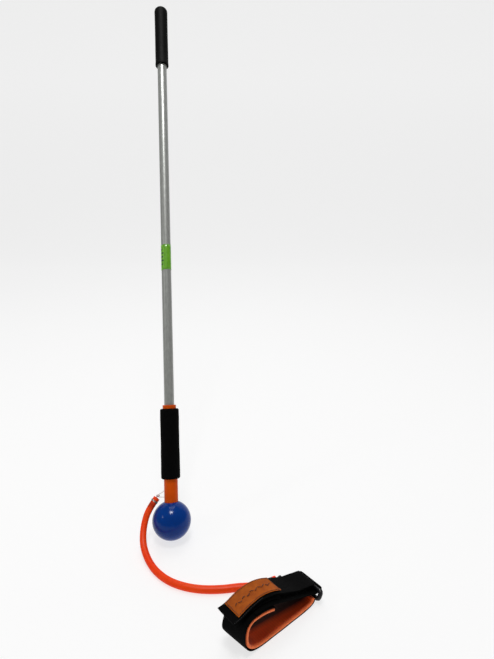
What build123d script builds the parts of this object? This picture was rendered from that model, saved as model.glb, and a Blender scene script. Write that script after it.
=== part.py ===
"""Swing trainer stick: a tube shaft with a ball, a foam grip and an elastic tether that ends in a padded arm cuff.

Millimetres, +Z up. The origin is the point where the ball touches the floor, under the ball's centre.
The stick leans away from -Y. The cuff and most of the tether lie on the floor in front of it.
"""
from math import atan2, cos, degrees, radians, sin, tan
import os

from build123d import *

# Ball and shaft
BALL_R = 28.575
SHAFT_R = 7.6
SHAFT_WALL = 1.2
LEAN_BACK = 24.0
LEAN_LEFT = 2.5

# Stations along the shaft, measured up from the ball's centre
SHAFT_BOTTOM = 3.0
SLEEVE_BOTTOM = 26.4
FOAM_BOTTOM = 60.0
FOAM_TOP = 164.0
SLEEVE_TOP = 169.5
LABEL_BOTTOM = 381.0
LABEL_TOP = 424.0
CAP_BOTTOM = 738.0
CAP_TOP = 846.0

# Sleeve, foam, cap and label
SLEEVE_R = 10.2
SLEEVE_BORE_R = 8.9
LOWER_BUSH_LENGTH = 4.0
UPPER_BUSH_LENGTH = 18.0
FOAM_R = 14.25
CAP_R = 11.0
CAP_END_WALL = 6.0
LABEL_THICK = 0.25
GLUE_GAP = 0.02

# Fixing of the ball to the shaft
PLUG_LENGTH = 24.0
STUD_R = 3.0
STUD_REACH = 14.0

# String that ties the tether to the sleeve
STRING_R = 0.5
STRING_HOLE_R = 2.2
STRING_STATIONS = (33.0, 44.0)
# Where it hangs straight down through the tether's link, on the tether's swing axis
STRING_LINK = (-20.5, 11.0, 62.8)
STRING_DROP = (1.2, 1.4)
STRING_BEND = (1.6, 0.2, -1.3)

# Tether
TUBE_R = 4.8
TUBE_BORE_R = 2.6
TUBE_ROUTE = [
    (-22.3, 10.0, 59.8),
    (-33.0, -1.0, 48.2),
    (-38.0, -13.5, 33.2),
    (-37.5, -31.5, 19.2),
    (-30.5, -49.0, 10.2),
    (-16.0, -71.0, 5.0),
    (5.5, -91.5, 5.0),
    (29.0, -102.5, 5.0),
    (54.0, -107.5, 5.0),
    (80.0, -107.0, 5.0),
    (101.0, -104.0, 5.6),
    (116.5, -104.5, 6.8),
    (133.0, -103.0, 8.6),
    (150.0, -96.9, 11.0),
]
PLUG_IN_TUBE = 8.0
CLAMP_FROM_END = 6.0
CLAMP_LENGTH = 3.0
CLAMP_WALL = 0.5
LINK_R = 2.0
LINK_WIRE_R = 0.5
LINK_NECK_R = 0.7
EYE_R = 3.6
EYE_WIRE_R = 0.9

# Cuff: its own frame has X along the band, Y up and Z across the band towards the near edge
CUFF_ORIGIN = (123.8, -189.6, 0.0)
CUFF_TURN = 40.5
BAND_WIDTH = 38.0
LINING = 5.0
LAYER_GAP = 0.1
LINING_RIGHT = 87.0
WEBBING = 1.2
STRAP = 1.5
STRAP_WIDTH = 30.0
STRAP_NEAR = -6.0
TAIL_WIDTH = 35.0
TAIL_NEAR = -1.5
LEFT_SIDE = -13.5
TOP_SIDE = 44.2
BAND_RIGHT = 94.0
RING_LOW = (101.0, 7.0)
RING_HIGH = (106.0, 16.5)
RING_BAR_R = 2.5
RING_LENGTH = 46.0
RING_SLACK = 1.0
KEEPER_GAP = 0.3
TAB_WIDTH = 3.0
TAB_ROOT_W = -38.9
TAB_ROOT_Y = 3.0
LABEL_NEAR = -9.3
LABEL_FAR = -35.3
LABEL_THICKNESS = 0.8
HOOK = 1.8
LOOP = 2.2
STRAP_FALL = 4.1

lean = Vector(-sin(radians(LEAN_LEFT)), sin(radians(LEAN_BACK)), cos(radians(LEAN_BACK))).normalized()
stick = Plane(origin=(0, 0, BALL_R), x_dir=(1, 0, 0), z_dir=lean).location
along = Vector(cos(radians(CUFF_TURN)), sin(radians(CUFF_TURN)), 0)
across = Vector(sin(radians(CUFF_TURN)), -cos(radians(CUFF_TURN)), 0)
cuff = Plane(origin=CUFF_ORIGIN, x_dir=along, z_dir=across).location
nodes = {}


def rod(radius, low, high):
    """A cylinder on the shaft's axis between two stations."""
    return Pos(0, 0, low) * Cylinder(radius, high - low, align=(Align.CENTER, Align.CENTER, Align.MIN))


def pipe(outer, inner, low, high):
    return rod(outer, low, high) - rod(inner, low - 1, high + 1)


def strip(points, radii, thick, near, far):
    """A band of even thickness whose middle line is drawn in the cuff's X and Y."""
    line = FilletPolyline(*points, radius=radii) if radii else Polyline(*points)
    face = trace(line, line_width=thick)
    return Pos(0, 0, far) * extrude(face, near - far, dir=(0, 0, 1))


def bar(centre, radius, near, far):
    """A round bar across the cuff."""
    length = near - far
    return Pos(centre[0], centre[1], far) * Cylinder(
        radius, length, align=(Align.CENTER, Align.CENTER, Align.MIN)
    )


# --- stick -------------------------------------------------------------------------------------------
def make_ball():
    """A solid ball with a flat seat for the sleeve, a blind socket for the shaft and a tapped hole below it."""
    ball = Sphere(BALL_R)
    ball -= rod(SLEEVE_R + 0.3, SLEEVE_BOTTOM, BALL_R + 1)
    ball -= rod(SHAFT_R + GLUE_GAP, SHAFT_BOTTOM, BALL_R + 1)
    ball -= rod(STUD_R + GLUE_GAP, SHAFT_BOTTOM - STUD_REACH, SHAFT_BOTTOM + 1)
    return ball


nodes["ball"] = stick * make_ball()
nodes["shaft_tube"] = stick * pipe(SHAFT_R, SHAFT_R - SHAFT_WALL, SHAFT_BOTTOM, CAP_TOP - CAP_END_WALL)
plug_bore = rod(STUD_R + GLUE_GAP, SHAFT_BOTTOM - 1, SHAFT_BOTTOM + STUD_REACH)
nodes["shaft_lower_plug"] = stick * (
    rod(SHAFT_R - SHAFT_WALL - GLUE_GAP, SHAFT_BOTTOM, SHAFT_BOTTOM + PLUG_LENGTH) - plug_bore
)
nodes["ball_stud"] = stick * rod(STUD_R, SHAFT_BOTTOM - STUD_REACH + 0.5, SHAFT_BOTTOM + STUD_REACH - 0.5)
nodes["shaft_label"] = stick * pipe(SHAFT_R + GLUE_GAP + LABEL_THICK, SHAFT_R + GLUE_GAP, LABEL_BOTTOM, LABEL_TOP)


def make_end_cap():
    """A push-on rubber grip with a domed end and a softened lip."""
    cap = rod(CAP_R, CAP_BOTTOM, CAP_TOP)
    cap = fillet(cap.edges().group_by(Axis.Z)[-1], 6.5)
    cap = fillet(cap.edges().group_by(Axis.Z)[0], 1.2)
    return cap - rod(SHAFT_R + GLUE_GAP, CAP_BOTTOM - 1, CAP_TOP - CAP_END_WALL)


nodes["end_cap"] = stick * make_end_cap()


def make_sleeve():
    """A plastic tube with a softened top rim and two small holes for the string."""
    tube = pipe(SLEEVE_R, SLEEVE_BORE_R, SLEEVE_BOTTOM, SLEEVE_TOP)
    rim = [e for e in tube.edges().group_by(Axis.Z)[-1] if e.radius > SLEEVE_BORE_R + 0.5]
    tube = fillet(rim, 0.8)
    for station in STRING_STATIONS:
        tube -= Pos(-SLEEVE_R, 0, station) * (Rot(0, 90, 0) * Cylinder(STRING_HOLE_R, 8))
    return tube


nodes["grip_sleeve"] = stick * make_sleeve()
bush_spans = {
    "lower_bush": (SLEEVE_BOTTOM, SLEEVE_BOTTOM + LOWER_BUSH_LENGTH),
    "upper_bush": (SLEEVE_TOP - UPPER_BUSH_LENGTH, SLEEVE_TOP),
}
for name, (low, high) in bush_spans.items():
    nodes[name] = stick * pipe(SLEEVE_BORE_R - GLUE_GAP, SHAFT_R + GLUE_GAP, low, high)


def make_foam():
    """A closed-cell foam tube with rounded ends."""
    foam = rod(FOAM_R, FOAM_BOTTOM, FOAM_TOP)
    foam = fillet(foam.edges(), 2.6)
    return foam - rod(SLEEVE_R + GLUE_GAP, FOAM_BOTTOM - 1, FOAM_TOP + 1)


nodes["foam_grip"] = stick * make_foam()


def make_string():
    """Cord from the lower hole, up through the tether's link and back into the upper hole."""
    low, high = [stick * Pos(-SHAFT_R - 0.6, 0, station) for station in STRING_STATIONS]
    link = Vector(*STRING_LINK)
    under = link - Vector(0, 0, STRING_DROP[0])
    over = link + Vector(0, 0, STRING_DROP[1])
    corners = [Vector(*low.position), under + Vector(*STRING_BEND), under, over, Vector(*high.position)]
    string = Sphere(STRING_R).moved(Pos(*corners[1]))
    for corner in corners[2:-1]:
        string += Pos(*corner) * Sphere(STRING_R)
    for head, tail in zip(corners, corners[1:]):
        way = tail - head
        string += Solid.make_cylinder(STRING_R, way.length, Plane(origin=head, z_dir=way))
    return string


nodes["anchor_string"] = make_string()

# --- tether ------------------------------------------------------------------------------------------
route = [Vector(*p) for p in TUBE_ROUTE]
radii = []
for before, here, after in zip(route, route[1:], route[2:]):
    turn = (here - before).get_angle(after - here)
    shorter = min((here - before).length, (after - here).length)
    radii.append(0.45 * shorter / tan(radians(turn) / 2))
path = FilletPolyline(*TUBE_ROUTE, radius=radii)
print("tube radii", [round(r) for r in radii], "length", round(path.length, 1))
start = Plane(origin=path @ 0, z_dir=path % 0)
finish = Plane(origin=path @ 1, z_dir=path % 1)
section = start * Circle(TUBE_R) - start * Circle(TUBE_BORE_R)
tube_solid = sweep(section, path=path)
print("tube volume share", round(tube_solid.volume / (section.area * path.length), 4))
nodes["resistance_tube"] = tube_solid


def make_plug(end, inward):
    """A plain moulded plug inside the tube's end."""
    sense = 1 if inward else -1
    where = end.location * Pos(0, 0, sense * PLUG_IN_TUBE / 2)
    return where * Cylinder(TUBE_BORE_R - GLUE_GAP, PLUG_IN_TUBE)


def make_clamp(end, inward):
    sense = 1 if inward else -1
    where = end.location * Pos(0, 0, sense * CLAMP_FROM_END)
    return where * (Cylinder(TUBE_R + CLAMP_WALL, CLAMP_LENGTH) - Cylinder(TUBE_R + GLUE_GAP, CLAMP_LENGTH + 2))


def make_link():
    """A level ring round the string and the neck that joins it to the upper plug."""
    away = Vector(start.z_dir.X, start.z_dir.Y, 0).normalized()
    centre = Vector(*STRING_LINK)
    neck_top = centre + away * LINK_R
    neck = start.origin + start.z_dir - neck_top
    ring = Pos(*centre) * Torus(LINK_R, LINK_WIRE_R)
    return ring + Solid.make_cylinder(LINK_NECK_R, neck.length, Plane(origin=neck_top, z_dir=neck))


nodes["tube_upper_plug"] = make_plug(start, True) + make_link()
nodes["tube_upper_clamp"] = make_clamp(start, True)
nodes["tube_lower_clamp"] = make_clamp(finish, False)
eye_centre = finish.origin + finish.z_dir * (EYE_R + 0.6)
eye = Plane(origin=eye_centre, x_dir=(0, 0, 1), z_dir=across).location * Torus(EYE_R, EYE_WIRE_R)
nodes["tube_lower_plug"] = make_plug(finish, False) + eye

# --- cuff --------------------------------------------------------------------------------------------
lining_line = [
    (LINING_RIGHT, WEBBING + LAYER_GAP + LINING / 2),
    (LEFT_SIDE, WEBBING + LAYER_GAP + LINING / 2),
    (LEFT_SIDE, TOP_SIDE),
    (10.0, TOP_SIDE),
    (24.0, TOP_SIDE - 4.0),
]
out = (LINING + WEBBING) / 2 + LAYER_GAP
webbing_line = [
    (BAND_RIGHT, WEBBING / 2),
    (LEFT_SIDE - out, WEBBING / 2),
    (LEFT_SIDE - out, TOP_SIDE + out),
    (10.0, TOP_SIDE + out),
    (24.5, TOP_SIDE + out - 4.1),
]
nodes["cuff_lining"] = cuff * strip(lining_line, [19.0, 16.0, 26.0], LINING, 0, -BAND_WIDTH)
webbing_radii = [19.0 + out, 16.0 + out, 26.0 + out]
nodes["cuff_webbing"] = cuff * strip(webbing_line, webbing_radii, WEBBING, -0.4, 0.4 - BAND_WIDTH)

strap_far = STRAP_NEAR - STRAP_WIDTH
tail_far = TAIL_NEAR - TAIL_WIDTH
wrap_r = RING_BAR_R + RING_SLACK + STRAP / 2
strap_top = TOP_SIDE + out + WEBBING / 2 + STRAP / 2
slope = atan2(RING_HIGH[1] - wrap_r - (strap_top - 3.4), RING_HIGH[0] - 24.0)
tangent_in = (RING_HIGH[0] + wrap_r * sin(slope), RING_HIGH[1] - wrap_r * cos(slope))


def make_tail():
    """The strap sewn on the band's top end: it runs down to the ring and turns round the ring's upper bar."""
    line = [(2.0, strap_top), (14.0, strap_top), (30.0, strap_top - STRAP_FALL), tangent_in]
    run = strip(line, [20.0, 40.0], STRAP, TAIL_NEAR, tail_far)
    turn = bar(RING_HIGH, wrap_r + STRAP / 2, TAIL_NEAR, tail_far) - bar(
        RING_HIGH, wrap_r - STRAP / 2, TAIL_NEAR + 1, tail_far - 1
    )
    keep = Pos(RING_HIGH[0] + 10, RING_HIGH[1], tail_far) * Box(
        20, 40, TAIL_WIDTH, align=(Align.CENTER, Align.CENTER, Align.MIN)
    )
    low = Pos(RING_HIGH[0] - 1.3, RING_HIGH[1] - 10, tail_far) * Box(
        4, 20, TAIL_WIDTH, align=(Align.CENTER, Align.CENTER, Align.MIN)
    )
    return run + (turn & (keep + low))


nodes["cuff_tail"] = cuff * make_tail()

flap_line = [
    (101.5, 24.4),
    (84.0, 28.8),
    (68.0, 34.6),
    (47.0, 45.8),
    (31.0, 54.0),
    (14.0, 58.2),
    (-5.0, 55.6),
    (-18.5, 50.8),
    (-28.0, 50.2),
]
flap_radii = [60.0, 60.0, 60.0, 40.0, 35.0, 40.0, 25.0]
nodes["cuff_flap"] = cuff * strip(flap_line, flap_radii, STRAP, STRAP_NEAR, strap_far)


def shifted(points, rise):
    """The same line moved square to itself by about the rise."""
    moved = []
    for i, (x, y) in enumerate(points):
        before = points[max(i - 1, 0)]
        after = points[min(i + 1, len(points) - 1)]
        way = atan2(after[1] - before[1], after[0] - before[0])
        moved.append((x + rise * sin(way), y - rise * cos(way)))
    return moved


label_part = [(45.0, 46.83), (31.0, 54.0), (14.0, 58.2), (-5.0, 55.6), (-16.5, 51.5)]
nodes["cuff_label"] = cuff * strip(
    shifted(label_part, STRAP / 2 + LABEL_THICKNESS / 2 + LAYER_GAP),
    [40.0, 35.0, 40.0],
    LABEL_THICKNESS,
    LABEL_NEAR,
    LABEL_FAR,
)
hook_part = [(31.0, 54.0), (14.0, 58.2), (-5.0, 55.6), (-15.0, 52.04)]
nodes["hook_patch"] = cuff * strip(
    shifted(hook_part, -(STRAP / 2 + HOOK / 2 + 3 * LAYER_GAP)), [33.0, 38.0], HOOK, STRAP_NEAR - 1, strap_far + 1
)
loop_line = [
    (3.0, strap_top),
    (14.0, strap_top),
    (30.0, strap_top - STRAP_FALL),
    (44.0, strap_top - STRAP_FALL + 14.0 * tan(slope)),
]
nodes["loop_patch"] = cuff * strip(
    shifted(loop_line, -(STRAP / 2 + LOOP / 2 + LAYER_GAP)),
    [22.0, 42.0],
    LOOP,
    STRAP_NEAR - 1,
    strap_far + 1,
)


def make_ring():
    """A moulded rectangular ring: two long bars and two short sides."""
    near = (RING_LENGTH - BAND_WIDTH) / 2
    far = near - RING_LENGTH
    ring = bar(RING_LOW, RING_BAR_R, near, far) + bar(RING_HIGH, RING_BAR_R, near, far)
    dx, dy = RING_HIGH[0] - RING_LOW[0], RING_HIGH[1] - RING_LOW[1]
    reach = (dx * dx + dy * dy) ** 0.5
    for place in (near - RING_BAR_R, far + RING_BAR_R):
        side = Rot(0, 0, degrees(atan2(dy, dx))) * Box(reach, 2 * RING_BAR_R, 2 * RING_BAR_R)
        ring += Pos((RING_LOW[0] + RING_HIGH[0]) / 2, (RING_LOW[1] + RING_HIGH[1]) / 2, place) * side
    return ring


nodes["slide_ring"] = cuff * make_ring()


def make_keeper():
    """The webbing loop at the band's right end that holds the ring's lower bar."""
    inner = RING_BAR_R + KEEPER_GAP
    outer = inner + WEBBING
    loop = bar(RING_LOW, outer, STRAP_NEAR, strap_far) - bar(RING_LOW, inner, STRAP_NEAR + 1, strap_far - 1)
    for y in (RING_LOW[1] - inner - WEBBING / 2, RING_LOW[1] + inner + WEBBING / 2):
        leg = Box(14.0, WEBBING, STRAP_WIDTH, align=(Align.MAX, Align.CENTER, Align.MIN))
        loop += Pos(RING_LOW[0], y, strap_far) * leg
    inside = Box(16.0, 2 * inner, STRAP_WIDTH + 2, align=(Align.MAX, Align.CENTER, Align.MIN))
    return loop - Pos(RING_LOW[0], RING_LOW[1], strap_far - 1) * inside


nodes["ring_keeper"] = cuff * make_keeper()


def make_tether_tab():
    """A narrow webbing tab from the band's far edge, up and through the plug's eye."""
    eye_s, eye_y, eye_w = (cuff.inverse() * Pos(*eye_centre)).position
    line = Polyline(
        (TAB_ROOT_W, TAB_ROOT_Y), (eye_w + 12.0, eye_y - 7.0), (eye_w + 5.0, eye_y), (eye_w - 3.0, eye_y)
    )
    side = Plane(origin=(eye_s + TAB_WIDTH / 2, 0, 0), x_dir=(0, 0, 1), z_dir=(-1, 0, 0))
    return side.location * extrude(trace(line, line_width=WEBBING), TAB_WIDTH, dir=(0, 0, 1))


nodes["tether_tab"] = cuff * make_tether_tab()

os.makedirs("parts", exist_ok=True)
for name, shape in nodes.items():
    export_step(shape, f"parts/{name}.step")
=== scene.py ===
"""Swing trainer stick: the visual model and the studio round it, in metres, in the CAD frame."""
import math

import bmesh
import bpy
from mathutils import Matrix, Vector


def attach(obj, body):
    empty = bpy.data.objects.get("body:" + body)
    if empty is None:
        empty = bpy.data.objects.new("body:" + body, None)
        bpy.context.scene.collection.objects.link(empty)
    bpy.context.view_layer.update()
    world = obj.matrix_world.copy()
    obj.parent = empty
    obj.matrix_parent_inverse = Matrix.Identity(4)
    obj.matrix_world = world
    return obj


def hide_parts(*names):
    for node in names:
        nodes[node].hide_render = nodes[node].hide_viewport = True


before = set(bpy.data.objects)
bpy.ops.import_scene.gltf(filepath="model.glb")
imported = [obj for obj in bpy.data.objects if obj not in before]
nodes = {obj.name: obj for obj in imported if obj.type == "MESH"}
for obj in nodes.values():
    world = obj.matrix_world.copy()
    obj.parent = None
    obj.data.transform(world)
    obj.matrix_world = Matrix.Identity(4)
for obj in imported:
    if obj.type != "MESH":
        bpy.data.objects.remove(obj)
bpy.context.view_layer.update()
MM = 0.001

# ---- frame dimensions, in millimetres, as in the CAD -------------------------------------------------
BALL_R = 28.575
LEAN_BACK, LEAN_LEFT = math.radians(24.0), math.radians(2.5)
SLEEVE_R, SLEEVE_BOTTOM = 10.2, 26.4
FOAM_R, FOAM_BOTTOM, FOAM_TOP = 14.25, 60.0, 164.0
SHAFT_R, LABEL_BOTTOM, LABEL_TOP = 7.6, 381.0, 424.0
CAP_R, CAP_BOTTOM, CAP_TOP = 11.0, 738.0, 846.0
CUFF_ORIGIN, CUFF_TURN = Vector((123.8, -189.6, 0.0)), math.radians(40.5)
BAND_WIDTH, STRAP_NEAR, STRAP_FAR = 38.0, -6.0, -36.0
TAIL_NEAR, TAIL_FAR = -1.5, -36.5
RING_LOW, RING_HIGH, RING_BAR_R, RING_LENGTH = Vector((101.0, 7.0)), Vector((106.0, 16.5)), 2.5, 46.0

lean = Vector((-math.sin(LEAN_LEFT), math.sin(LEAN_BACK), math.cos(LEAN_BACK))).normalized()
side = Vector((1, 0, 0)) - lean * lean.x
side.normalize()
STICK = Matrix.Translation((0, 0, BALL_R)) @ Matrix((side, lean.cross(side), lean)).transposed().to_4x4()
along = Vector((math.cos(CUFF_TURN), math.sin(CUFF_TURN), 0))
across = Vector((math.sin(CUFF_TURN), -math.cos(CUFF_TURN), 0))
CUFF = Matrix.Translation(CUFF_ORIGIN) @ Matrix((along, Vector((0, 0, 1)), across)).transposed().to_4x4()

# ---- mesh helpers ------------------------------------------------------------------------------------


def add_mesh(name, points, faces, place, uvs=None):
    """A mesh object at the origin. Points are millimetres in the frame that place gives."""
    mesh = bpy.data.meshes.new(name)
    mesh.from_pydata([(place @ Vector(p)) * MM for p in points], [], faces)
    if uvs:
        layer = mesh.uv_layers.new(name="strap")
        for loop in mesh.loops:
            layer.data[loop.index].uv = uvs[loop.vertex_index]
    obj = bpy.data.objects.new(name, mesh)
    bpy.context.scene.collection.objects.link(obj)
    clean = bmesh.new()
    clean.from_mesh(mesh)
    bmesh.ops.recalc_face_normals(clean, faces=clean.faces)
    clean.to_mesh(mesh)
    clean.free()
    for polygon in mesh.polygons:
        polygon.use_smooth = True
    return obj


def turned(name, outline, place, steps=72, wobble=0.0):
    """A closed outline of (radius, height) turned round the place's Z axis.

    An end at radius 0 closes to a point. wobble makes the shape slightly uneven.
    """
    points, faces = [], []
    count = len(outline)
    for j in range(steps):
        angle = 2 * math.pi * j / steps
        for radius, height in outline:
            r = radius * (1 + wobble * math.sin(3 * angle + height * 0.11) * math.sin(height * 0.07))
            points.append((r * math.cos(angle), r * math.sin(angle), height))
    for j in range(steps):
        a, b = j * count, (j + 1) % steps * count
        for i in range(count):
            k = (i + 1) % count
            faces.append((a + i, a + k, b + k, b + i))
    obj = add_mesh(name, points, faces, place)
    clean = bmesh.new()
    clean.from_mesh(obj.data)
    bmesh.ops.remove_doubles(clean, verts=clean.verts, dist=1e-6)
    bmesh.ops.dissolve_degenerate(clean, edges=clean.edges, dist=1e-6)
    clean.to_mesh(obj.data)
    clean.free()
    return obj


def corner(cx, cy, radius, start, end, steps=8):
    """Points on an arc of an outline, angles in degrees."""
    return [
        (
            cx + radius * math.cos(math.radians(start + (end - start) * i / steps)),
            cy + radius * math.sin(math.radians(start + (end - start) * i / steps)),
        )
        for i in range(steps + 1)
    ]


def smooth(points, step, rounds=5):
    """An even, smooth line through the corner-cut points."""
    line = [Vector(p) for p in points]
    for _ in range(rounds):
        cut = [line[0]]
        for a, b in zip(line, line[1:]):
            cut += [a.lerp(b, 0.25), a.lerp(b, 0.75)]
        line = cut + [line[-1]]
    lengths = [0.0]
    for a, b in zip(line, line[1:]):
        lengths.append(lengths[-1] + (b - a).length)
    count = max(4, round(lengths[-1] / step))
    even, k = [], 0
    for i in range(count + 1):
        want = lengths[-1] * i / count
        while k < len(line) - 2 and lengths[k + 1] < want:
            k += 1
        span = max(lengths[k + 1] - lengths[k], 1e-9)
        even.append(line[k].lerp(line[k + 1], (want - lengths[k]) / span))
    return even, lengths[-1]


def strap(name, path, near, far, thick, step=1.6, columns=20, edge=0.6, crown=0.0, ripple=0.0):
    """A flat band whose middle line is drawn in the cuff's (along, up) plane, with rounded edges.

    crown lifts its middle and ripple waves its two edges.
    """
    line, length = smooth(path, step)
    points, faces, uvs = [], [], []
    for i, p in enumerate(line):
        ahead = line[min(i + 1, len(line) - 1)] - line[max(i - 1, 0)]
        normal = Vector((-ahead.y, ahead.x)).normalized()
        share = i / (len(line) - 1)
        ring = []
        for j in range(2 * columns):
            turn = 2 * math.pi * (j + 0.5) / (2 * columns)
            x = math.copysign(abs(math.cos(turn)) ** 0.55, math.cos(turn))
            y = math.copysign(abs(math.sin(turn)) ** edge, math.sin(turn))
            wide = (near + far) / 2 + x * (near - far) / 2
            wave = ripple * math.sin(share * length * 0.21 + 1.7 * (x > 0)) * x * x
            ring.append((wide, y * thick / 2 + crown * (1 - x * x) + wave))
        for wide, rise in ring:
            q = p + normal * rise
            points.append((q.x, q.y, wide))
            uvs.append((share * length * MM, wide * MM))
    size = 2 * columns
    for i in range(len(line) - 1):
        for j in range(size):
            k = (j + 1) % size
            faces.append((i * size + j, i * size + k, (i + 1) * size + k, (i + 1) * size + j))
    faces.append(tuple(range(size)))
    faces.append(tuple((len(line) - 1) * size + j for j in reversed(range(size))))
    return add_mesh(name, points, faces, CUFF, uvs), length


def rounded_bar(points, radius, name, place, steps=14, closed=False):
    """A round rod along a polyline."""
    line = [Vector(p) for p in points]
    count = len(line)
    verts, faces = [], []
    up = None
    for i, p in enumerate(line):
        if closed:
            ahead = line[(i + 1) % count] - line[i - 1]
        else:
            ahead = line[min(i + 1, count - 1)] - line[max(i - 1, 0)]
        ahead.normalize()
        if up is None:
            up = ahead.orthogonal().normalized()
        up = (up - ahead * up.dot(ahead)).normalized()
        out = ahead.cross(up)
        for j in range(steps):
            t = 2 * math.pi * j / steps
            verts.append(p + up * (radius * math.cos(t)) + out * (radius * math.sin(t)))
    for i in range(count if closed else count - 1):
        n = (i + 1) % count
        for j in range(steps):
            k = (j + 1) % steps
            faces.append((i * steps + j, i * steps + k, n * steps + k, n * steps + j))
    if not closed:
        faces.append(tuple(reversed(range(steps))))
        faces.append(tuple((count - 1) * steps + j for j in range(steps)))
    return add_mesh(name, verts, faces, place)


def joined(name, objs):
    """One object from several."""
    merged = bmesh.new()
    for obj in objs:
        merged.from_mesh(obj.data)
        old = obj.data
        bpy.data.objects.remove(obj)
        bpy.data.meshes.remove(old)
    mesh = bpy.data.meshes.new(name)
    merged.to_mesh(mesh)
    merged.free()
    obj = bpy.data.objects.new(name, mesh)
    bpy.context.scene.collection.objects.link(obj)
    for polygon in mesh.polygons:
        polygon.use_smooth = True
    return obj


# ---- materials ---------------------------------------------------------------------------------------


def srgb(r, g, b):
    """0 to 255 screen values as a linear colour."""

    def one(v):
        v /= 255
        return v / 12.92 if v <= 0.04045 else ((v + 0.055) / 1.055) ** 2.4

    return (one(r), one(g), one(b), 1.0)


class Look:
    """A small builder for a node material round one Principled shader."""

    def __init__(self, name, roughness=0.5, **sockets):
        self.material = bpy.data.materials.new(name)
        self.material.use_nodes = True
        self.tree = self.material.node_tree
        self.shader = self.tree.nodes["Principled BSDF"]
        self.set(self.shader, Roughness=roughness, **sockets)
        self.coords = self.tree.nodes.new("ShaderNodeTexCoord")
        self.bump = None

    def set(self, node, **sockets):
        for key, value in sockets.items():
            node.inputs[key.replace("_", " ")].default_value = value

    def link(self, a, b):
        self.tree.links.new(a, b)

    def mapped(self, source="Object", scale=(1, 1, 1), turn=(0, 0, 0)):
        node = self.tree.nodes.new("ShaderNodeMapping")
        node.inputs["Scale"].default_value = scale
        node.inputs["Rotation"].default_value = turn
        self.link(self.coords.outputs[source], node.inputs["Vector"])
        return node.outputs["Vector"]

    def noise(self, scale, detail=4.0, vector=None):
        node = self.tree.nodes.new("ShaderNodeTexNoise")
        node.inputs["Scale"].default_value = scale
        node.inputs["Detail"].default_value = detail
        self.link(vector or self.mapped(), node.inputs["Vector"])
        return node.outputs["Fac"]

    def wave(self, scale, direction, vector, distortion=0.0):
        node = self.tree.nodes.new("ShaderNodeTexWave")
        node.bands_direction = direction
        node.inputs["Scale"].default_value = scale
        node.inputs["Distortion"].default_value = distortion
        self.link(vector, node.inputs["Vector"])
        return node.outputs["Fac"]

    def math(self, operation, a, b):
        node = self.tree.nodes.new("ShaderNodeMath")
        node.operation = operation
        for socket, value in zip(node.inputs, (a, b)):
            if isinstance(value, (int, float)):
                socket.default_value = value
            else:
                self.link(value, socket)
        return node.outputs[0]

    def ramp(self, fac, *stops):
        node = self.tree.nodes.new("ShaderNodeValToRGB")
        while len(node.color_ramp.elements) < len(stops):
            node.color_ramp.elements.new(0.5)
        for element, (place, colour) in zip(node.color_ramp.elements, stops):
            element.position = place
            element.color = colour
        self.link(fac, node.inputs["Fac"])
        return node.outputs["Color"]

    def mix(self, fac, a, b):
        node = self.tree.nodes.new("ShaderNodeMix")
        node.data_type = "RGBA"
        for key, value in ((0, fac), (6, a), (7, b)):
            if isinstance(value, (int, float, tuple)):
                node.inputs[key].default_value = value
            else:
                self.link(value, node.inputs[key])
        return node.outputs[2]

    def colour(self, source):
        self.link(source, self.shader.inputs["Base Color"])
        return self

    def rough(self, fac, low, high):
        node = self.tree.nodes.new("ShaderNodeMapRange")
        node.inputs["To Min"].default_value = low
        node.inputs["To Max"].default_value = high
        self.link(fac, node.inputs["Value"])
        self.link(node.outputs[0], self.shader.inputs["Roughness"])
        return self

    def relief(self, height, strength, distance):
        node = self.tree.nodes.new("ShaderNodeBump")
        node.inputs["Strength"].default_value = strength
        node.inputs["Distance"].default_value = distance
        self.link(height, node.inputs["Height"])
        if self.bump:
            self.link(self.bump, node.inputs["Normal"])
        self.bump = node.outputs["Normal"]
        self.link(self.bump, self.shader.inputs["Normal"])
        return self


def dress(obj, look):
    obj.data.materials.clear()
    obj.data.materials.append(look.material)
    return obj


def plastic(name, dark, light, roughness, bump=0.15, coat=0.0, gloss=0.3):
    look = Look(name, roughness)
    look.set(look.shader, Coat_Weight=coat, Coat_Roughness=0.06, Specular_IOR_Level=gloss)
    blotch = look.noise(40.0, 3.0)
    look.colour(look.ramp(blotch, (0.35, dark), (0.7, light)))
    look.rough(look.noise(350.0, 2.0), roughness * 0.85, roughness * 1.15)
    return look.relief(look.noise(2600.0, 2.0), bump, 0.0001)


# A wave texture of scale 1 repeats every 2 pi / 20 of its vector, and these vectors are metres.
WAVE_PER_MM = 1000.0 * 2 * math.pi / 20.0
WHITE, BLACK = (1, 1, 1, 1), (0, 0, 0, 1)


def woven(name, dark, light, pitch=1.1, strength=0.6, fuzz=0.3):
    """Webbing: ribs across and along the strap, in its own lengthwise coordinates."""
    look = Look(name, 0.85)
    look.set(look.shader, Sheen_Weight=fuzz, Sheen_Roughness=0.5, Specular_IOR_Level=0.05)
    flat = look.mapped("UV")
    ribs = look.wave(WAVE_PER_MM / pitch, "X", flat, 0.4)
    cross = look.wave(WAVE_PER_MM / pitch, "Y", flat, 0.4)
    weave = look.math("MULTIPLY", ribs, cross)
    soft = look.noise(60.0, 5.0)
    look.colour(look.mix(look.math("MULTIPLY", weave, soft), dark, light))
    look.relief(weave, strength, 0.0003)
    return look.relief(look.noise(1500.0, 3.0), 0.25, 0.0002)


BLACK_WEB = woven("black_webbing", srgb(0, 0, 0), srgb(4, 4, 6), pitch=1.6, fuzz=0.0)
BLACK_BAND = woven("black_band", srgb(0, 0, 0), srgb(3, 3, 4), pitch=1.2, strength=0.4, fuzz=0.0)
HOOK_TAPE = woven("hook_tape", srgb(1, 1, 3), srgb(8, 8, 16), pitch=1.8, strength=1.0, fuzz=0.03)


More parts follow.
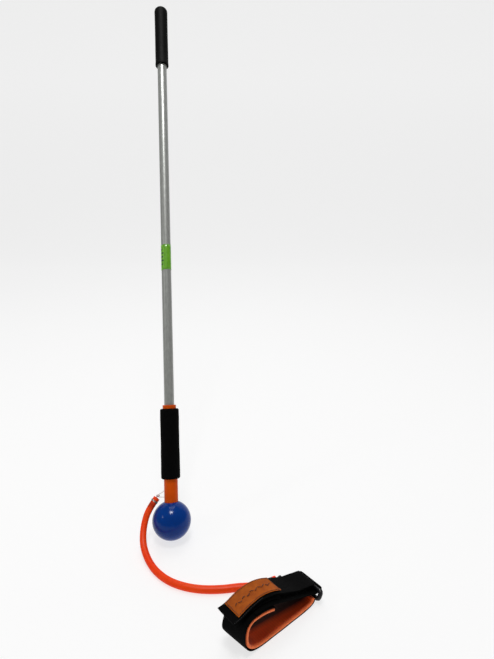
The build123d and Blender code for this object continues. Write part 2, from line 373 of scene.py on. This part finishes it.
def lining_look():
    """Orange cloth with a pale cut edge. The shade inside the loop is painted, and isn't the lights'.

    X runs along the band and Y across it, in metres, below 0 away from the near edge.
    """
    look = Look("orange_lining", 0.8)
    look.set(look.shader, Sheen_Weight=0.12, Sheen_Roughness=0.45, Specular_IOR_Level=0.15)
    knit = look.wave(95.0, "X", look.mapped("UV"), 1.2)
    shade = look.ramp(look.noise(55.0, 5.0), (0.3, srgb(214, 66, 4)), (0.7, srgb(230, 82, 14)))
    cloth = look.mix(look.math("MULTIPLY", knit, 0.18), shade, srgb(170, 44, 2))
    split = look.tree.nodes.new("ShaderNodeSeparateXYZ")
    look.link(look.mapped("UV"), split.inputs["Vector"])
    upper = look.ramp(split.outputs["X"], (0.094, BLACK), (0.118, WHITE))
    inward = look.math("MULTIPLY", split.outputs["Y"], -1.0)
    behind = look.ramp(inward, (0.0016, BLACK), (0.008, WHITE))
    shadow = look.math("SUBTRACT", inward, look.math("MULTIPLY", split.outputs["X"], 0.13))
    depth = look.ramp(shadow, (0.005, BLACK), (0.012, WHITE))
    dark = look.math("MAXIMUM", look.math("MULTIPLY", upper, behind), depth)
    shaded = look.mix(dark, cloth, srgb(34, 4, 0))
    cut = look.ramp(inward, (0.0007, WHITE), (0.0017, BLACK))
    look.colour(look.mix(cut, shaded, srgb(255, 128, 72)))
    look.relief(knit, 0.25, 0.0002)
    return look.relief(look.noise(1800.0, 4.0), 0.35, 0.0002)


def patch_look():
    """Orange-brown synthetic leather, finely grained."""
    look = Look("stitched_patch", 0.7)
    look.set(look.shader, Specular_IOR_Level=0.12)
    grain = look.noise(900.0, 6.0)
    blotch = look.noise(120.0, 4.0)
    look.colour(look.ramp(blotch, (0.3, srgb(154, 70, 2)), (0.72, srgb(182, 90, 10))))
    look.relief(grain, 0.5, 0.0002)
    return look


def tube_look():
    """Red rubber, darker where the plug sits inside the upper end, with light scuffs."""
    look = Look("red_rubber", 0.42)
    look.set(look.shader, Specular_IOR_Level=0.12)
    body = look.ramp(look.noise(26.0, 5.0), (0.3, srgb(255, 60, 8)), (0.7, srgb(255, 78, 20)))
    away = look.tree.nodes.new("ShaderNodeVectorMath")
    away.operation = "DISTANCE"
    away.inputs[1].default_value = TUBE_PLUG_AT
    look.link(look.coords.outputs["Object"], away.inputs[0])
    near = look.ramp(
        away.outputs["Value"], (0.0, (0.85,) * 3 + (1,)), (0.0045, (0.7,) * 3 + (1,)), (0.008, BLACK)
    )
    scuff = look.ramp(look.noise(300.0, 6.0), (0.62, (0, 0, 0, 1)), (0.8, (0.35,) * 3 + (1,)))
    worn = look.mix(scuff, body, srgb(255, 128, 96))
    look.colour(look.mix(near, worn, srgb(96, 14, 6)))
    look.rough(look.noise(160.0, 4.0), 0.34, 0.5)
    return look.relief(look.noise(900.0, 4.0), 0.12, 0.0002)


def ball_look():
    """Glossy blue plastic with a faint swirl."""
    look = Look("blue_ball", 0.14)
    look.set(look.shader, Coat_Weight=0.0, Specular_IOR_Level=0.16)
    swirl = look.noise(18.0, 4.0, look.mapped("Object", (1, 1, 2.5)))
    look.colour(look.ramp(swirl, (0.3, srgb(0, 50, 128)), (0.7, srgb(0, 60, 144))))
    look.rough(look.noise(500.0, 5.0), 0.12, 0.19)
    return look.relief(look.noise(140.0, 2.0), 0.03, 0.0003)


def shaft_look():
    """Grey drawn metal, streaked along the shaft."""
    look = Look("grey_shaft", 0.36)
    look.set(look.shader, Metallic=0.35, Coat_Weight=0.15, Coat_Roughness=0.25)
    turn = STICK.to_3x3().inverted().to_euler()
    drawn = look.noise(60.0, 4.0, look.mapped("Object", (6, 6, 0.4), tuple(turn)))
    look.colour(look.ramp(drawn, (0.3, srgb(148, 150, 146)), (0.72, srgb(164, 166, 162))))
    look.rough(look.noise(400.0, 4.0), 0.3, 0.44)
    return look.relief(look.noise(1200.0, 3.0), 0.05, 0.0001)


def foam_look():
    """Black foam with open cells."""
    look = Look("black_foam", 0.9)
    look.set(look.shader, Specular_IOR_Level=0.05)
    cells = look.tree.nodes.new("ShaderNodeTexVoronoi")
    cells.inputs["Scale"].default_value = 1100.0
    look.link(look.mapped(), cells.inputs["Vector"])
    look.colour(look.ramp(look.noise(200.0, 5.0), (0.3, srgb(0, 0, 0)), (0.75, srgb(5, 5, 5))))
    look.relief(cells.outputs["Distance"], 0.7, 0.0003)
    return look.relief(look.noise(90.0, 3.0), 0.3, 0.0006)


def label_look():
    """Plain green film."""
    look = Look("green_wrap", 0.35)
    look.set(look.shader, Coat_Weight=0.25, Coat_Roughness=0.2)
    look.colour(look.ramp(look.noise(160.0, 3.0), (0.3, srgb(88, 158, 6)), (0.7, srgb(112, 182, 24))))
    return look.relief(look.noise(220.0, 3.0), 0.15, 0.0003)


def solid(name, colour, roughness, metallic=0.0, bump=0.15):
    look = Look(name, roughness, Metallic=metallic)
    tint = tuple(min(1.0, c * 1.35 + 0.003) for c in colour[:3]) + (1.0,)
    look.colour(look.ramp(look.noise(180.0, 4.0), (0.3, colour), (0.75, tint)))
    return look.relief(look.noise(1400.0, 3.0), bump, 0.0002)


# ---- stick -------------------------------------------------------------------------------------------


def make_ball():
    """The ball, with a flat seat under the sleeve and a faint mould line."""
    seat = SLEEVE_R + 0.3
    low = math.degrees(math.asin(SLEEVE_BOTTOM / BALL_R))
    rim = math.sqrt(BALL_R**2 - SLEEVE_BOTTOM**2)
    outline = [(0.0, -BALL_R)]
    for i in range(1, 96):
        angle = math.radians(-90 + (90 + low) * i / 96)
        groove = 0.05 * math.exp(-((math.degrees(angle) / 0.9) ** 2))
        outline.append(((BALL_R - groove) * math.cos(angle), (BALL_R - groove) * math.sin(angle)))
    outline += [(rim, SLEEVE_BOTTOM), (min(seat, rim - 0.3), SLEEVE_BOTTOM - 0.1), (0.0, SLEEVE_BOTTOM - 0.1)]
    ball = dress(turned("ball_shell", outline, STICK, 128), ball_look())
    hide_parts("ball")
    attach(ball, "stick")


def make_foam():
    """The foam grip, slightly uneven, with soft ends that turn in to the sleeve."""
    outline = corner(FOAM_R - 2.6, FOAM_BOTTOM + 2.6, 2.6, -90, 0)
    count = 40
    for i in range(1, count):
        share = i / count
        swell = 0.12 * math.sin(share * 9.0) + 0.08 * math.sin(share * 23.0)
        outline.append((FOAM_R + swell - 0.12, FOAM_BOTTOM + 2.6 + (FOAM_TOP - FOAM_BOTTOM - 5.2) * share))
    outline += corner(FOAM_R - 2.6, FOAM_TOP - 2.6, 2.6, 0, 90)
    outline += [(SLEEVE_R + 0.9, FOAM_TOP - 0.1), (SLEEVE_R + 0.05, FOAM_TOP - 0.8)]
    outline += [(SLEEVE_R + 0.05, FOAM_BOTTOM + 0.8), (SLEEVE_R + 0.9, FOAM_BOTTOM + 0.1)]
    foam = dress(turned("foam_sleeve_grip", outline, STICK, 96, 0.004), foam_look())
    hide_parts("foam_grip")
    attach(foam, "stick")


def make_cap():
    """The rubber end cap: a rolled lip, a long barrel and a domed end."""
    r = CAP_R
    outline = [(SHAFT_R + 0.05, CAP_BOTTOM + 0.3)]
    outline += corner(r - 1.0, CAP_BOTTOM + 1.0, 1.0, -90, 0)
    outline += [(r, CAP_BOTTOM + 4.0), (r - 0.25, CAP_BOTTOM + 4.8), (r - 0.2, CAP_BOTTOM + 30.0)]
    outline += [(r - 0.25, CAP_BOTTOM + 60.0), (r - 0.1, CAP_TOP - 14.0)]
    dome = 7.0
    outline += corner(r - dome, CAP_TOP - dome, dome, 0, 90, 14)
    outline += [(0.0, CAP_TOP), (0.0, CAP_TOP - 5.0), (SHAFT_R + 0.05, CAP_TOP - 5.0)]
    look = plastic("cap_rubber", srgb(3, 3, 3), srgb(8, 8, 8), 0.6, 0.35, 0.0, 0.05)
    cap = dress(turned("end_cap_rubber", outline, STICK, 80), look)
    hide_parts("end_cap")
    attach(cap, "stick")


def make_sleeve():
    """Materials for the sleeve, the shaft and the pieces inside them, which keep their CAD shapes."""
    look = plastic("orange_sleeve", srgb(214, 78, 0), srgb(228, 88, 2), 0.42, 0.12, 0.0, 0.1)
    dress(nodes["grip_sleeve"], look)
    dress(nodes["upper_bush"], look)
    dress(nodes["lower_bush"], look)
    dress(nodes["shaft_tube"], shaft_look())
    inner = solid("pale_nylon", srgb(190, 188, 180), 0.5)
    dress(nodes["shaft_lower_plug"], inner)
    dress(nodes["ball_stud"], solid("steel_stud", srgb(150, 150, 152), 0.3, 1.0))


BAR_DEGREES = (26, 40, 33, 40, 22)


def make_label():
    """A wrap label with an overlap seam, its lower edge dipping to the left, and plain bars for print."""
    turn_steps, rows = 96, 10
    points, faces = [], []
    overlap = math.radians(14)
    seam = math.radians(-80)
    radius = SHAFT_R + 0.14
    for layer in (0.0, 0.16):
        for i in range(turn_steps + 1):
            share = i / turn_steps
            angle = seam + (2 * math.pi + overlap) * share
            lift = 0.12 * max(0.0, (share - 0.96) / 0.04)
            slant = 1.1 * math.cos(angle)
            for j in range(rows + 1):
                z = LABEL_BOTTOM + 0.4 + slant * 0.5 + (LABEL_TOP - LABEL_BOTTOM - 2.0) * j / rows + 0.6
                r = radius + layer + lift * (0.3 + 0.7 * (share > 0.96))
                points.append((r * math.cos(angle), r * math.sin(angle), z))
    span, sheet_size = rows + 1, (turn_steps + 1) * (rows + 1)
    for i in range(turn_steps):
        for j in range(rows):
            a = i * span + j
            faces.append((a, a + 1, a + span + 1, a + span))
            b = a + sheet_size
            faces.append((b, b + span, b + span + 1, b + 1))
    for i in range(turn_steps):
        for edge_row in (0, rows):
            a = i * span + edge_row
            faces.append((a, a + span, a + span + sheet_size, a + sheet_size))
    for i in (0, turn_steps):
        for j in range(rows):
            a = i * span + j
            faces.append((a, a + 1, a + 1 + sheet_size, a + sheet_size))
    film = dress(add_mesh("wrap_label_film", points, faces, STICK), label_look())
    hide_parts("shaft_label")
    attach(film, "stick")
    bars = []
    for row in range(len(BAR_DEGREES)):
        z0 = LABEL_BOTTOM + 9.0 + row * 6.0
        wide = BAR_DEGREES[row]
        angle0 = math.radians(-150)
        n = 10
        verts, quads = [], []
        for i in range(n + 1):
            angle = angle0 + math.radians(wide) * i / n
            r = radius + 0.22
            for z in (z0, z0 + 2.2):
                verts.append((r * math.cos(angle), r * math.sin(angle), z + 0.5 * math.cos(angle)))
            for z in (z0, z0 + 2.2):
                outer = r + 0.04
                verts.append((outer * math.cos(angle), outer * math.sin(angle), z + 0.5 * math.cos(angle)))
        for i in range(n):
            a = 4 * i
            b = a + 4
            quads += [(a, a + 1, b + 1, b), (a + 2, b + 2, b + 3, a + 3)]
            quads += [(a, b, b + 2, a + 2), (a + 1, a + 3, b + 3, b + 1)]
        quads += [(0, 2, 3, 1), (4 * n, 4 * n + 1, 4 * n + 3, 4 * n + 2)]
        bars.append(add_mesh("bar", verts, quads, STICK))
    print_block = dress(joined("wrap_label_bars", bars), solid("label_ink", srgb(18, 60, 14), 0.5))
    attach(print_block, "stick")


# ---- tether ------------------------------------------------------------------------------------------
TUBE_R = 4.8
ROUTE = [
    (-22.3, 10.0, 59.8),
    (-33.0, -1.0, 48.2),
    (-38.0, -13.5, 33.2),
    (-37.5, -31.5, 19.2),
    (-30.5, -49.0, 10.2),
    (-16.0, -71.0, 5.0),
    (5.5, -91.5, 5.0),
    (29.0, -102.5, 5.0),
    (54.0, -107.5, 5.0),
    (80.0, -107.0, 5.0),
    (101.0, -104.0, 5.6),
    (116.5, -104.5, 6.8),
    (133.0, -103.0, 8.6),
    (150.0, -96.9, 11.0),
]
TUBE_START = Vector(ROUTE[0])
TUBE_WAY = (Vector(ROUTE[1]) - TUBE_START).normalized()
TUBE_PLUG_AT = (TUBE_START + TUBE_WAY * 12.0) * MM
LINK, LINK_R = Vector((-20.5, 11.0, 62.8)), 2.0


def circle(radius, count, height=0.0):
    """Points evenly round a circle about the Z axis."""
    turns = [2 * math.pi * i / count for i in range(count)]
    return [(radius * math.cos(t), radius * math.sin(t), height) for t in turns]


def nurbs(name, route, radius, radii=None):
    """A round tube on a smooth NURBS line through the route's control points."""
    curve = bpy.data.curves.new(name, "CURVE")
    curve.dimensions = "3D"
    curve.bevel_depth = radius * MM
    curve.bevel_resolution = 8
    curve.use_fill_caps = True
    curve.resolution_u = 16
    spline = curve.splines.new("NURBS")
    spline.points.add(len(route) - 1)
    for i, (point, place) in enumerate(zip(spline.points, route)):
        point.co = (*(Vector(place) * MM), 1)
        point.radius = radii[i] if radii else 1.0
    spline.order_u = 3
    spline.use_endpoint_u = True
    obj = bpy.data.objects.new(name, curve)
    bpy.context.scene.collection.objects.link(obj)
    return obj


def make_tether():
    """The red tube, which swells slightly towards the cuff, with its clamps and plugs."""
    count = len(ROUTE)
    swell = [0.94 + 0.14 * min(1.0, i / (count - 5)) for i in range(count)]
    swell[0] = swell[1] = 1.02
    tube = nurbs("tether_tube", ROUTE, TUBE_R, swell)
    dress(tube, tube_look())
    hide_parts("resistance_tube")
    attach(tube, "tether")
    steel = solid("clamp_steel", srgb(150, 138, 132), 0.4, 1.0, 0.05)
    spin = TUBE_WAY.to_track_quat("Z", "Y").to_matrix().to_4x4()
    at_end = Matrix.Translation(TUBE_START) @ spin
    wires = []
    for height in (4.9, 5.8, 6.7):
        ring = circle(TUBE_R + 0.22, 40, height)
        wires.append(rounded_bar(ring, 0.42, "wire", at_end, 10, closed=True))
    clamp = dress(joined("upper_clamp_wire", wires), steel)
    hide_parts("tube_upper_clamp")
    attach(clamp, "tether")
    outline = [(0.0, -0.5), (1.9, -0.5), (2.5, -0.1), (2.5, 0.4), (0.0, 0.4)]
    face = turned("face", outline, at_end, 40)
    link = rounded_bar(circle(LINK_R, 32), 0.5, "link", Matrix.Translation(LINK), 10, closed=True)
    neck_top = LINK + Vector((TUBE_WAY.x, TUBE_WAY.y, 0)).normalized() * LINK_R
    neck_line = [neck_top, neck_top.lerp(TUBE_START, 0.5), TUBE_START + TUBE_WAY]
    neck = rounded_bar(neck_line, 0.6, "neck", Matrix.Identity(4), 10)
    plug = dress(joined("upper_plug_face", [face, link, neck]), solid("plug_rubber", srgb(120, 22, 10), 0.6))
    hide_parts("tube_upper_plug")
    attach(plug, "tether")
    dress(nodes["tube_lower_clamp"], steel)
    dress(nodes["tube_lower_plug"], solid("lower_plug", srgb(26, 24, 24), 0.5))


def make_string():
    """A loop of string out of the sleeve, through the link ring and back."""
    low = STICK @ Vector((-SHAFT_R - 0.6, 0, 33.0))
    high = STICK @ Vector((-SHAFT_R - 0.6, 0, 44.0))
    route = [
        STICK @ Vector((-SHAFT_R - 0.65, 0, 29.5)),
        low,
        low.lerp(LINK + Vector((1.6, 0.2, -2.5)), 0.6) + Vector((0, 0, 0.3)),
        LINK + Vector((1.3, 0.2, -2.6)),
        LINK + Vector((-0.2, 0.0, -1.8)),
        LINK + Vector((-0.1, 0.0, 0.0)),
        LINK + Vector((0.0, 0.0, 1.8)),
        high.lerp(LINK + Vector((0, 0, 1.4)), 0.6) + Vector((0, 0, -0.5)),
        high,
        STICK @ Vector((-SHAFT_R - 0.65, 0, 47.5)),
    ]
    string = dress(nurbs("tie_string", route, 0.45), solid("pale_string", srgb(222, 220, 212), 0.7))
    string.data.resolution_u = 8
    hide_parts("anchor_string")
    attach(string, "stick")


# ---- cuff --------------------------------------------------------------------------------------------


def lean_out(obj):
    """Push the band's left bend outward, most low down and on its far edge, as a resting cuff sags."""
    for vertex in obj.data.vertices:
        q = CUFF.inverted() @ (vertex.co / MM)
        left = min(1.0, max(0.0, (12.0 - q.x) / 24.0))
        low = math.exp(-(((q.y - 15.0) / 14.0) ** 2))
        far = min(1.0, max(0.0, -q.z / BAND_WIDTH))
        q.x -= 4.6 * left * left * low * far
        vertex.co = (CUFF @ q) * MM


def make_band():
    """The padded band: a thick orange lining with a thin black face outside it."""
    path = [
        (94.6, 11.2),
        (92.4, 6.6),
        (86.0, 4.4),
        (60.0, 3.8),
        (28.0, 3.8),
        (6.0, 3.8),
        (-7.9, 7.6),
        (-14.4, 19.0),
        (-14.3, 36.0),
        (-8.0, 44.6),
        (7.0, 44.6),
        (16.0, 42.9),
        (26.0, 39.4),
    ]
    lining, _ = strap("band_lining", path, 0.0, -BAND_WIDTH, 4.7, 1.4, 22, 0.45, 0.0, 0.12)
    lean_out(lining)
    dress(lining, lining_look())
    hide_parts("cuff_lining")
    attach(lining, "cuff")
    shell = [
        (97.2, 9.8),
        (95.6, 4.4),
        (87.0, 1.1),
        (60.0, 0.7),
        (28.0, 0.7),
        (4.0, 0.75),
        (-10.6, 4.8),
        (-17.6, 18.0),
        (-17.5, 37.4),
        (-9.4, 47.8),
        (7.5, 47.7),
        (17.0, 45.9),
        (27.0, 42.4),
    ]
    face, length = strap("band_face", shell, -0.3, 0.3 - BAND_WIDTH, 1.3, 1.4, 22, 0.5, 0.0, 0.1)
    lean_out(face)
    dress(face, BLACK_BAND)
    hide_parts("cuff_webbing")
    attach(face, "cuff")


FLAP_PATH = [
    (104.0, 23.2),
    (100.0, 25.2),
    (84.0, 29.2),
    (68.0, 34.6),
    (47.0, 45.8),
    (31.0, 54.2),
    (14.0, 58.6),
    (-5.0, 55.8),
    (-18.5, 50.8),
    (-28.2, 50.3),
]
PATCH_PATH = [(44.6, 47.1), (31.0, 54.2), (14.0, 58.6), (-5.0, 55.8), (-17.5, 51.2), (-19.0, 50.8)]
HOOK_PATH = [(31.0, 54.2), (14.0, 58.6), (-5.0, 55.8), (-16.0, 51.7)]
LABEL_NEAR, LABEL_FAR = -9.3, -35.3


def make_tail_and_flap():
    """One strap: from the band's top to the ring, round the ring's upper bar and back over the top."""
    wrap = RING_BAR_R + 1.55
    turn = [
        (RING_HIGH.x + wrap * math.cos(math.radians(a)), RING_HIGH.y + wrap * math.sin(math.radians(a)))
        for a in range(-110, 95, 17)
    ]
    path = [(-1.0, 49.0), (12.0, 49.0), (25.0, 46.2), (45.0, 37.9), (75.0, 24.9), (98.0, 14.6)] + turn
    tail, length = strap("strap_tail", path, TAIL_NEAR, TAIL_FAR, 1.4, 1.1, 16, 0.5)
    dress(tail, BLACK_WEB)
    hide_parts("cuff_tail")
    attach(tail, "cuff")
    flap, length = strap("strap_flap", FLAP_PATH, STRAP_NEAR, STRAP_FAR, 1.5, 1.2, 18, 0.5, 0.5, 0.25)
    dress(flap, BLACK_WEB)
    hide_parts("cuff_flap")
    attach(flap, "flap")


def lifted(path, rise):
    """A path moved square to itself."""
    moved = []
    for i, (x, y) in enumerate(path):
        before, after = path[max(i - 1, 0)], path[min(i + 1, len(path) - 1)]
        d = Vector((after[0] - before[0], after[1] - before[1])).normalized()
        moved.append((x + d.y * rise, y - d.x * rise))
    return moved


def stitches(name, line, pitch, radius, look, body):
    """Short rounded stitches along a line of points in the cuff's frame."""
    pieces, carried = [], 0.0
    spots = [Vector(p) for p in line]
    lengths = [0.0]
    for a, b in zip(spots, spots[1:]):
        lengths.append(lengths[-1] + (b - a).length)

    def at(distance):
        for i in range(len(spots) - 1):
            if distance <= lengths[i + 1]:
                span = max(lengths[i + 1] - lengths[i], 1e-9)
                return spots[i].lerp(spots[i + 1], (distance - lengths[i]) / span)
        return spots[-1]

    thread = pitch * 0.72
    while carried + thread < lengths[-1]:
        ends = [at(carried), at(carried + thread / 2), at(carried + thread)]
        pieces.append(rounded_bar(ends, radius, "stitch", CUFF, 6))
        carried += pitch
    obj = dress(joined(name, pieces), look)
    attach(obj, body)
    return obj


def make_patch():
    """The stitched patch on the flap. Its words are replaced by a plain wavy line of dashes."""
    top = lifted(PATCH_PATH, 1.75)
    near, far = LABEL_NEAR, LABEL_FAR + 0.8
    patch, _ = strap("stitched_patch", top, near, far, 0.9, 1.2, 18, 0.4, 0.5)
    dress(patch, patch_look())
    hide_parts("cuff_label")
    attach(patch, "flap")
    surface, length = smooth(lifted(PATCH_PATH, 2.25), 1.5)
    dark = solid("dark_thread", srgb(34, 18, 20), 0.8)
    inset = 1.3
    middle = (near + far) / 2
    half = (near - far) / 2

    def spot(i, wide):
        lift = 0.5 * (1 - ((wide - middle) / half) ** 2)
        return (surface[i].x, surface[i].y + lift, wide)

    last = len(surface) - 2
    edge_near = [spot(i, near - inset) for i in range(1, last + 1)]
    edge_far = [spot(i, far + inset) for i in range(1, last + 1)]
    rim = edge_near + list(reversed(edge_far)) + [edge_near[0]]
    stitches("patch_stitches", rim, 2.3, 0.24, dark, "flap")
    dashes = []
    for i in range(5, last - 3):
        if i % 4 == 3:
            continue
        wave = 1.4 * math.sin(i * 0.9)
        a = Vector(spot(i, middle + 0.5 + wave))
        b = Vector(spot(min(i + 1, last), middle + 0.5 + 1.4 * math.sin((i + 0.8) * 0.9)))
        dashes.append(rounded_bar([a, a.lerp(b, 0.5), b], 0.34, "dash", CUFF, 6))
    mark = dress(joined("patch_wave_line", dashes), dark)
    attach(mark, "flap")


def make_tapes():
    """Hook tape under the flap's end and loop tape on the strap below it."""
    hook = lifted(HOOK_PATH, -1.9)
    piece, _ = strap("hook_tape_pad", hook, STRAP_NEAR - 1.5, STRAP_FAR + 1.5, 1.9, 1.3, 16, 0.4)
    dress(piece, HOOK_TAPE)
    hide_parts("hook_patch")
    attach(piece, "flap")
    loop = [(-1.0, 50.6), (10.0, 51.1), (23.0, 48.8), (42.0, 41.3)]
    piece, _ = strap("loop_tape", loop, STRAP_NEAR - 1.5, STRAP_FAR + 1.5, 2.6, 1.3, 16, 0.4, 0.3, 0.2)
    dress(piece, HOOK_TAPE)
    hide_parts("loop_patch")
    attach(piece, "cuff")


def make_ring():
    """A moulded ring: a rounded rod, with a second bar inside each short side."""
    near, far = (RING_LENGTH - BAND_WIDTH) / 2, -(RING_LENGTH + BAND_WIDTH) / 2
    way = RING_HIGH - RING_LOW
    reach = way.length
    way.normalize()
    r = RING_BAR_R
    inset = 4.0
    loop = []

    def put(share, wide):
        p = RING_LOW + way * (reach * share)
        loop.append((p.x, p.y, wide))

    steps = 6
    for a, b, ca, cb in (
        (0.0, near - r, 180, 270),
        (1.0, near - r, 270, 360),
        (1.0, far + r, 0, 90),
        (0.0, far + r, 90, 180),
    ):
        centre_share = (inset / reach) if a == 0.0 else 1 - inset / reach
        centre_wide = b - inset if b > 0 else b + inset
        for i in range(steps + 1):
            t = math.radians(ca + (cb - ca) * i / steps)
            put(centre_share + math.cos(t) * inset / reach, centre_wide - math.sin(t) * inset)
    sides = []
    for wide in (near - r - 0.5, far + r + 0.5):
        a, b = RING_LOW - way * 0.4, RING_HIGH + way * 0.4
        bar = [(*a, wide), (*a.lerp(b, 0.5), wide), (*b, wide)]
        sides.append(rounded_bar(bar, r * 0.92, "side", CUFF, 18))
    rod = rounded_bar(loop, r * 1.16, "rod", CUFF, 18, closed=True)
    ring = joined("slide_ring_moulding", [rod] + sides)
    dress(ring, plastic("ring_plastic", srgb(12, 12, 14), srgb(26, 26, 30), 0.38, 0.2, 0.05))
    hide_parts("slide_ring")
    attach(ring, "ring")


def make_keeper():
    """The webbing loop that holds the ring, and the tab that holds the tube."""
    inner = RING_BAR_R + 1.0
    turn = [
        (RING_LOW.x + inner * math.cos(math.radians(a)), RING_LOW.y + inner * math.sin(math.radians(a)))
        for a in range(90, -91, -18)
    ]
    path = [(94.5, 12.0), (98.0, 11.2)] + turn + [(99.0, 3.0), (96.0, 2.6)]
    keeper, _ = strap("keeper_loop", path, STRAP_NEAR, STRAP_FAR, 1.3, 1.0, 14, 0.5)
    dress(keeper, BLACK_WEB)
    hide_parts("ring_keeper")
    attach(keeper, "cuff")
    dress(nodes["tether_tab"], solid("tab_web", srgb(10, 10, 12), 0.85))


def make_band_stitching():
    """Stitches along the lining's lower edge and the flap's end."""
    thread = solid("black_thread", srgb(20, 20, 24), 0.7)
    rim, _ = smooth([(84.0, 6.7), (60.0, 6.25), (28.0, 6.25), (6.0, 6.25), (-3.0, 7.2)], 2.0)
    orange = solid("orange_thread", srgb(176, 52, 12), 0.7)
    stitches("lining_stitches", [(p.x, p.y, -3.2) for p in rim], 2.6, 0.22, orange, "cuff")
    end, _ = smooth(lifted(FLAP_PATH[-4:], 0.95), 2.0)
    row = [(p.x, p.y + 0.1, STRAP_NEAR - 1.0) for p in end]
    stitches("flap_edge_stitches", row, 2.4, 0.2, thread, "flap")


# ---- studio ------------------------------------------------------------------------------------------


# The camera was fitted to the picture: its place in metres, its tilt, and its focal length in pixels.
CAMERA_AT = (0.112, -0.6225, 0.502)
CAMERA_TILT = math.radians(16)
FOCAL_PX, IMAGE_HEIGHT_PX, SENSOR_MM = 490.0, 659.0, 36.0
FLOOR_GREY, FLOOR_GLOW, WORLD_FILL = 0.3, 0.72, 0.22


def area(name, place, target, size, power):
    """A square light at a place, turned to its target."""
    data = bpy.data.lights.new(name, "AREA")
    data.size = size
    data.energy = power
    obj = bpy.data.objects.new(name, data)
    obj.location = place
    obj.rotation_euler = (Vector(target) - Vector(place)).to_track_quat("-Z", "Y").to_euler()
    bpy.context.scene.collection.objects.link(obj)
    return obj


def make_studio():
    """A pale floor that curves up behind, four soft lights and the camera.

    The glint light shows in reflections only, as the bright spot on the ball.
    """
    half, reach, curve_r, height = 5.0, 2.6, 1.4, 5.0
    profile = [(-half, 0.0), (reach, 0.0)]
    for t in range(1, 17):
        turn = t * math.pi / 32
        profile.append((reach + curve_r * math.sin(turn), curve_r * (1 - math.cos(turn))))
    profile.append((reach + curve_r, height))
    points = [(x, y, z) for y, z in profile for x in (-half, half)]
    quads = [(2 * i, 2 * i + 1, 2 * i + 3, 2 * i + 2) for i in range(len(profile) - 1)]
    mesh = bpy.data.meshes.new("floor")
    mesh.from_pydata(points, [], quads)
    for polygon in mesh.polygons:
        polygon.use_smooth = True
    floor = bpy.data.objects.new("floor", mesh)
    floor.location.z = -0.0002
    bpy.context.scene.collection.objects.link(floor)
    pale = Look("pale_floor", 0.9)
    pale.shader.inputs["Base Color"].default_value = (FLOOR_GREY, FLOOR_GREY, FLOOR_GREY, 1)
    pale.set(pale.shader, Emission_Color=(1, 1, 1, 1), Emission_Strength=FLOOR_GLOW, Specular_IOR_Level=0.0)
    dress(floor, pale)
    world = bpy.data.worlds.new("studio")
    bpy.context.scene.world = world
    world.use_nodes = True
    tree = world.node_tree
    seen = tree.nodes["Background"]
    seen.inputs["Color"].default_value = (1, 1, 1, 1)
    seen.inputs["Strength"].default_value = 1.0
    fill = tree.nodes.new("ShaderNodeBackground")
    fill.inputs["Color"].default_value = (1, 1, 1, 1)
    fill.inputs["Strength"].default_value = WORLD_FILL
    path = tree.nodes.new("ShaderNodeLightPath")
    mix = tree.nodes.new("ShaderNodeMixShader")
    tree.links.new(path.outputs["Is Camera Ray"], mix.inputs["Fac"])
    tree.links.new(fill.outputs[0], mix.inputs[1])
    tree.links.new(seen.outputs[0], mix.inputs[2])
    tree.links.new(mix.outputs[0], tree.nodes["World Output"].inputs["Surface"])
    area("overhead", (0.05, -0.35, 2.1), (0.05, -0.02, 0.1), 0.42, 14)
    glint = area("glint", (0.05, -0.35, 2.1), (0.05, -0.02, 0.1), 0.42, 30)
    glint.visible_diffuse = False
    area("left", (-1.5, -0.7, 1.2), (0.0, 0.0, 0.2), 0.22, 2.2)
    area("top_back", (0.0, 1.0, 2.4), (0.0, 0.2, 0.6), 1.2, 14)
    camera = bpy.data.cameras.new("camera")
    camera.lens = FOCAL_PX / IMAGE_HEIGHT_PX * SENSOR_MM
    camera.clip_start = 0.01
    view = bpy.data.objects.new("camera", camera)
    view.location = CAMERA_AT
    view.rotation_euler = (math.pi / 2 - CAMERA_TILT, 0, 0)
    bpy.context.scene.collection.objects.link(view)
    bpy.context.scene.camera = view
    bpy.context.scene.view_settings.view_transform = "Standard"


make_ball()
make_foam()
make_cap()
make_sleeve()
make_label()
make_tether()
make_string()
make_band()
make_tail_and_flap()
make_patch()
make_tapes()
make_ring()
make_keeper()
make_band_stitching()
make_studio()
